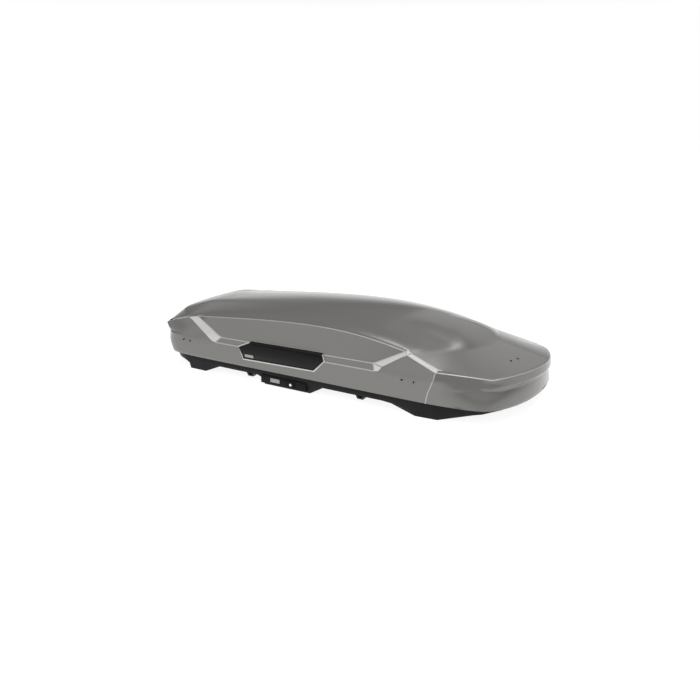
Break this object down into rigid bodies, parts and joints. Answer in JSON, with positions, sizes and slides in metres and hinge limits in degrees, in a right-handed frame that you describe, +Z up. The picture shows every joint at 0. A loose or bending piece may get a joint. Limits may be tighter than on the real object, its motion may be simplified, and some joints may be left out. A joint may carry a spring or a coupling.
{
  "type": "roof cargo box",
  "caption": "Long hard-shell roof cargo box with a glossy faceted lid that opens from either side, a black footed base tray and roof-bar clamps.",
  "frame": {"origin": "middle of the footprint, on the plane that the six feet stand on", "axes": "+X towards the nose, +Z up, -Y the left side"},
  "size_m": [2.3189, 0.9586, 0.4552],
  "materials": {
    "lid_gloss": "glossy warm titan grey, moulded sheet",
    "black_plastic": "satin black, fine grain",
    "handle_black": "semi-gloss black",
    "liner_grey": "matt dark grey",
    "zinc_steel": "zinc-plated pressed steel",
    "dark_steel": "black-coated steel",
    "polished_steel": "polished rod and lock cylinder",
    "label_silver": "blank satin plate",
    "seal_rubber": "matt foam rubber",
    "mat_foam": "closed-cell foam mat"
  },
  "bodies": {
    "base": {"base_tray": "black_plastic", "rim_seal": "seal_rubber", "base_mat": "mat_foam", "base_rail_left": "zinc_steel", "base_rail_right": "zinc_steel", "striker_seats_left": "black_plastic", "striker_seats_right": "black_plastic", "lock_fascia_left": "black_plastic", "lock_fascia_right": "black_plastic", "label_plate_left": "label_silver", "label_plate_right": "label_silver", "base_hinge_block_rear": "dark_steel", "base_hinge_block_front": "dark_steel", "base_strut_post_rear": "zinc_steel", "base_strut_post_front": "zinc_steel"},
    "hinge_arms": {"hinge_arm_rear": "dark_steel", "hinge_arm_front": "dark_steel"},
    "lid": {"lid_shell": "lid_gloss", "side_handle_left": "handle_black", "side_handle_right": "handle_black", "handle_badge_left": "label_silver", "handle_badge_right": "label_silver", "lid_bow_rear": "liner_grey", "lid_bow_front": "liner_grey", "nose_brace": "liner_grey", "striker_rail_left": "zinc_steel", "striker_rail_right": "zinc_steel", "lid_hinge_lug_rear": "dark_steel", "lid_hinge_lug_front": "dark_steel"},
    "strut_body_rear_left": {"strut_cylinder_rear_left": "dark_steel"},
    "strut_stem_rear_left": {"strut_rod_rear_left": "polished_steel"},
    "strut_body_front_left": {"strut_cylinder_front_left": "dark_steel"},
    "strut_stem_front_left": {"strut_rod_front_left": "polished_steel"},
    "strut_body_rear_right": {"strut_cylinder_rear_right": "dark_steel"},
    "strut_stem_rear_right": {"strut_rod_rear_right": "polished_steel"},
    "strut_body_front_right": {"strut_cylinder_front_right": "dark_steel"},
    "strut_stem_front_right": {"strut_rod_front_right": "polished_steel"},
    "lock_slide_left": {"lock_bar_left": "zinc_steel", "lock_knob_left": "black_plastic"},
    "key_left": {"key_cylinder_left": "polished_steel"},
    "lock_slide_right": {"lock_bar_right": "zinc_steel", "lock_knob_right": "black_plastic"},
    "key_right": {"key_cylinder_right": "polished_steel"},
    "clamp_carriage_rear_left": {"clamp_housing_rear_left": "black_plastic"},
    "clamp_knob_rear_left_turning": {"clamp_knob_rear_left": "liner_grey"},
    "claw_back_rear_left": {"clamp_claw_back_rear_left": "dark_steel"},
    "claw_fore_rear_left": {"clamp_claw_fore_rear_left": "dark_steel"},
    "clamp_carriage_front_left": {"clamp_housing_front_left": "black_plastic"},
    "clamp_knob_front_left_turning": {"clamp_knob_front_left": "liner_grey"},
    "claw_back_front_left": {"clamp_claw_back_front_left": "dark_steel"},
    "claw_fore_front_left": {"clamp_claw_fore_front_left": "dark_steel"},
    "clamp_carriage_rear_right": {"clamp_housing_rear_right": "black_plastic"},
    "clamp_knob_rear_right_turning": {"clamp_knob_rear_right": "liner_grey"},
    "claw_back_rear_right": {"clamp_claw_back_rear_right": "dark_steel"},
    "claw_fore_rear_right": {"clamp_claw_fore_rear_right": "dark_steel"},
    "clamp_carriage_front_right": {"clamp_housing_front_right": "black_plastic"},
    "clamp_knob_front_right_turning": {"clamp_knob_front_right": "liner_grey"},
    "claw_back_front_right": {"clamp_claw_back_front_right": "dark_steel"},
    "claw_fore_front_right": {"clamp_claw_fore_front_right": "dark_steel"}
  },
  "joints": [
    {"name": "lid_open_right_side", "type": "hinge", "parent": "base", "child": "hinge_arms", "pos_m": [0, -0.42, 0.085], "axis": [1, 0, 0], "range_deg": [0, 45]},
    {"name": "lid_open_left_side", "type": "hinge", "parent": "hinge_arms", "child": "lid", "pos_m": [0, 0.42, 0.085], "axis": [-1, 0, 0], "range_deg": [0, 45]},
    {"name": "strut_swing_rear_left", "type": "hinge", "parent": "base", "child": "strut_body_rear_left", "pos_m": [-0.873, -0.18, 0.085], "axis": [1, 0, 0], "range_deg": [0, 23]},
    {"name": "strut_extend_rear_left", "type": "slide", "parent": "strut_body_rear_left", "child": "strut_stem_rear_left", "axis": [0, -0.5, 0.866], "range_m": [0, 0.145]},
    {"name": "strut_swing_front_left", "type": "hinge", "parent": "base", "child": "strut_body_front_left", "pos_m": [0.607, -0.18, 0.085], "axis": [1, 0, 0], "range_deg": [0, 23]},
    {"name": "strut_extend_front_left", "type": "slide", "parent": "strut_body_front_left", "child": "strut_stem_front_left", "axis": [0, -0.5, 0.866], "range_m": [0, 0.145]},
    {"name": "strut_swing_rear_right", "type": "hinge", "parent": "hinge_arms", "child": "strut_body_rear_right", "pos_m": [-0.873, 0.1811, 0.108], "axis": [-1, 0, 0], "range_deg": [0, 23]},
    {"name": "strut_extend_rear_right", "type": "slide", "parent": "strut_body_rear_right", "child": "strut_stem_rear_right", "axis": [0, 0.5807, 0.8141], "range_m": [0, 0.145]},
    {"name": "strut_swing_front_right", "type": "hinge", "parent": "hinge_arms", "child": "strut_body_front_right", "pos_m": [0.607, 0.1811, 0.108], "axis": [-1, 0, 0], "range_deg": [0, 23]},
    {"name": "strut_extend_front_right", "type": "slide", "parent": "strut_body_front_right", "child": "strut_stem_front_right", "axis": [0, 0.5807, 0.8141], "range_m": [0, 0.145]},
    {"name": "lock_throw_left", "type": "slide", "parent": "base", "child": "lock_slide_left", "axis": [1, 0, 0], "range_m": [0, 0.03]},
    {"name": "key_turn_left", "type": "hinge", "parent": "lock_slide_left", "child": "key_left", "pos_m": [-0.145, -0.46, 0.035], "axis": [0, -1, 0], "range_deg": [0, 90]},
    {"name": "lock_throw_right", "type": "slide", "parent": "base", "child": "lock_slide_right", "axis": [1, 0, 0], "range_m": [0, 0.03]},
    {"name": "key_turn_right", "type": "hinge", "parent": "lock_slide_right", "child": "key_right", "pos_m": [-0.145, 0.46, 0.035], "axis": [0, 1, 0], "range_deg": [0, 90]},
    {"name": "clamp_slide_rear_left", "type": "slide", "parent": "base", "child": "clamp_carriage_rear_left", "axis": [1, 0, 0], "range_m": [-0.05, 0.03]},
    {"name": "clamp_turn_rear_left", "type": "hinge", "parent": "clamp_carriage_rear_left", "child": "clamp_knob_rear_left_turning", "pos_m": [-0.47, -0.3875, 0.0845], "axis": [0, 0, 1], "range_deg": [0, 720]},
    {"name": "claw_swing_back_rear_left", "type": "hinge", "parent": "clamp_carriage_rear_left", "child": "claw_back_rear_left", "pos_m": [-0.5, -0.3875, 0.064], "axis": [0, 1, 0], "range_deg": [0, 40.5]},
    {"name": "claw_swing_fore_rear_left", "type": "hinge", "parent": "clamp_carriage_rear_left", "child": "claw_fore_rear_left", "pos_m": [-0.44, -0.3875, 0.064], "axis": [0, -1, 0], "range_deg": [0, 40.5]},
    {"name": "clamp_slide_front_left", "type": "slide", "parent": "base", "child": "clamp_carriage_front_left", "axis": [1, 0, 0], "range_m": [-0.03, 0.05]},
    {"name": "clamp_turn_front_left", "type": "hinge", "parent": "clamp_carriage_front_left", "child": "clamp_knob_front_left_turning", "pos_m": [0.27, -0.3875, 0.0845], "axis": [0, 0, 1], "range_deg": [0, 720]},
    {"name": "claw_swing_back_front_left", "type": "hinge", "parent": "clamp_carriage_front_left", "child": "claw_back_front_left", "pos_m": [0.24, -0.3875, 0.064], "axis": [0, 1, 0], "range_deg": [0, 40.5]},
    {"name": "claw_swing_fore_front_left", "type": "hinge", "parent": "clamp_carriage_front_left", "child": "claw_fore_front_left", "pos_m": [0.3, -0.3875, 0.064], "axis": [0, -1, 0], "range_deg": [0, 40.5]},
    {"name": "clamp_slide_rear_right", "type": "slide", "parent": "base", "child": "clamp_carriage_rear_right", "axis": [1, 0, 0], "range_m": [-0.05, 0.03]},
    {"name": "clamp_turn_rear_right", "type": "hinge", "parent": "clamp_carriage_rear_right", "child": "clamp_knob_rear_right_turning", "pos_m": [-0.47, 0.3875, 0.0845], "axis": [0, 0, 1], "range_deg": [0, 720]},
    {"name": "claw_swing_back_rear_right", "type": "hinge", "parent": "clamp_carriage_rear_right", "child": "claw_back_rear_right", "pos_m": [-0.5, 0.3875, 0.064], "axis": [0, 1, 0], "range_deg": [0, 40.5]},
    {"name": "claw_swing_fore_rear_right", "type": "hinge", "parent": "clamp_carriage_rear_right", "child": "claw_fore_rear_right", "pos_m": [-0.44, 0.3875, 0.064], "axis": [0, -1, 0], "range_deg": [0, 40.5]},
    {"name": "clamp_slide_front_right", "type": "slide", "parent": "base", "child": "clamp_carriage_front_right", "axis": [1, 0, 0], "range_m": [-0.03, 0.05]},
    {"name": "clamp_turn_front_right", "type": "hinge", "parent": "clamp_carriage_front_right", "child": "clamp_knob_front_right_turning", "pos_m": [0.27, 0.3875, 0.0845], "axis": [0, 0, 1], "range_deg": [0, 720]},
    {"name": "claw_swing_back_front_right", "type": "hinge", "parent": "clamp_carriage_front_right", "child": "claw_back_front_right", "pos_m": [0.24, 0.3875, 0.064], "axis": [0, 1, 0], "range_deg": [0, 40.5]},
    {"name": "claw_swing_fore_front_right", "type": "hinge", "parent": "clamp_carriage_front_right", "child": "claw_fore_front_right", "pos_m": [0.3, 0.3875, 0.064], "axis": [0, -1, 0], "range_deg": [0, 40.5]}
  ],
  "couplings": [
    {"joint": "strut_swing_rear_left", "follows": "lid_open_right_side", "ratio": 0.5},
    {"joint": "strut_extend_rear_left", "follows": "lid_open_right_side", "m_per_rad": 0.17928},
    {"joint": "strut_swing_front_left", "follows": "lid_open_right_side", "ratio": 0.5},
    {"joint": "strut_extend_front_left", "follows": "lid_open_right_side", "m_per_rad": 0.17928},
    {"joint": "strut_swing_rear_right", "follows": "lid_open_left_side", "ratio": 0.5},
    {"joint": "strut_extend_rear_right", "follows": "lid_open_left_side", "m_per_rad": 0.17928},
    {"joint": "strut_swing_front_right", "follows": "lid_open_left_side", "ratio": 0.5},
    {"joint": "strut_extend_front_right", "follows": "lid_open_left_side", "m_per_rad": 0.17928},
    {"joint": "claw_swing_back_rear_left", "follows": "clamp_turn_rear_left", "ratio": 0.055556},
    {"joint": "claw_swing_fore_rear_left", "follows": "clamp_turn_rear_left", "ratio": 0.055556},
    {"joint": "claw_swing_back_front_left", "follows": "clamp_turn_front_left", "ratio": 0.055556},
    {"joint": "claw_swing_fore_front_left", "follows": "clamp_turn_front_left", "ratio": 0.055556},
    {"joint": "claw_swing_back_rear_right", "follows": "clamp_turn_rear_right", "ratio": 0.055556},
    {"joint": "claw_swing_fore_rear_right", "follows": "clamp_turn_rear_right", "ratio": 0.055556},
    {"joint": "claw_swing_back_front_right", "follows": "clamp_turn_front_right", "ratio": 0.055556},
    {"joint": "claw_swing_fore_front_right", "follows": "clamp_turn_front_right", "ratio": 0.055556}
  ]
}
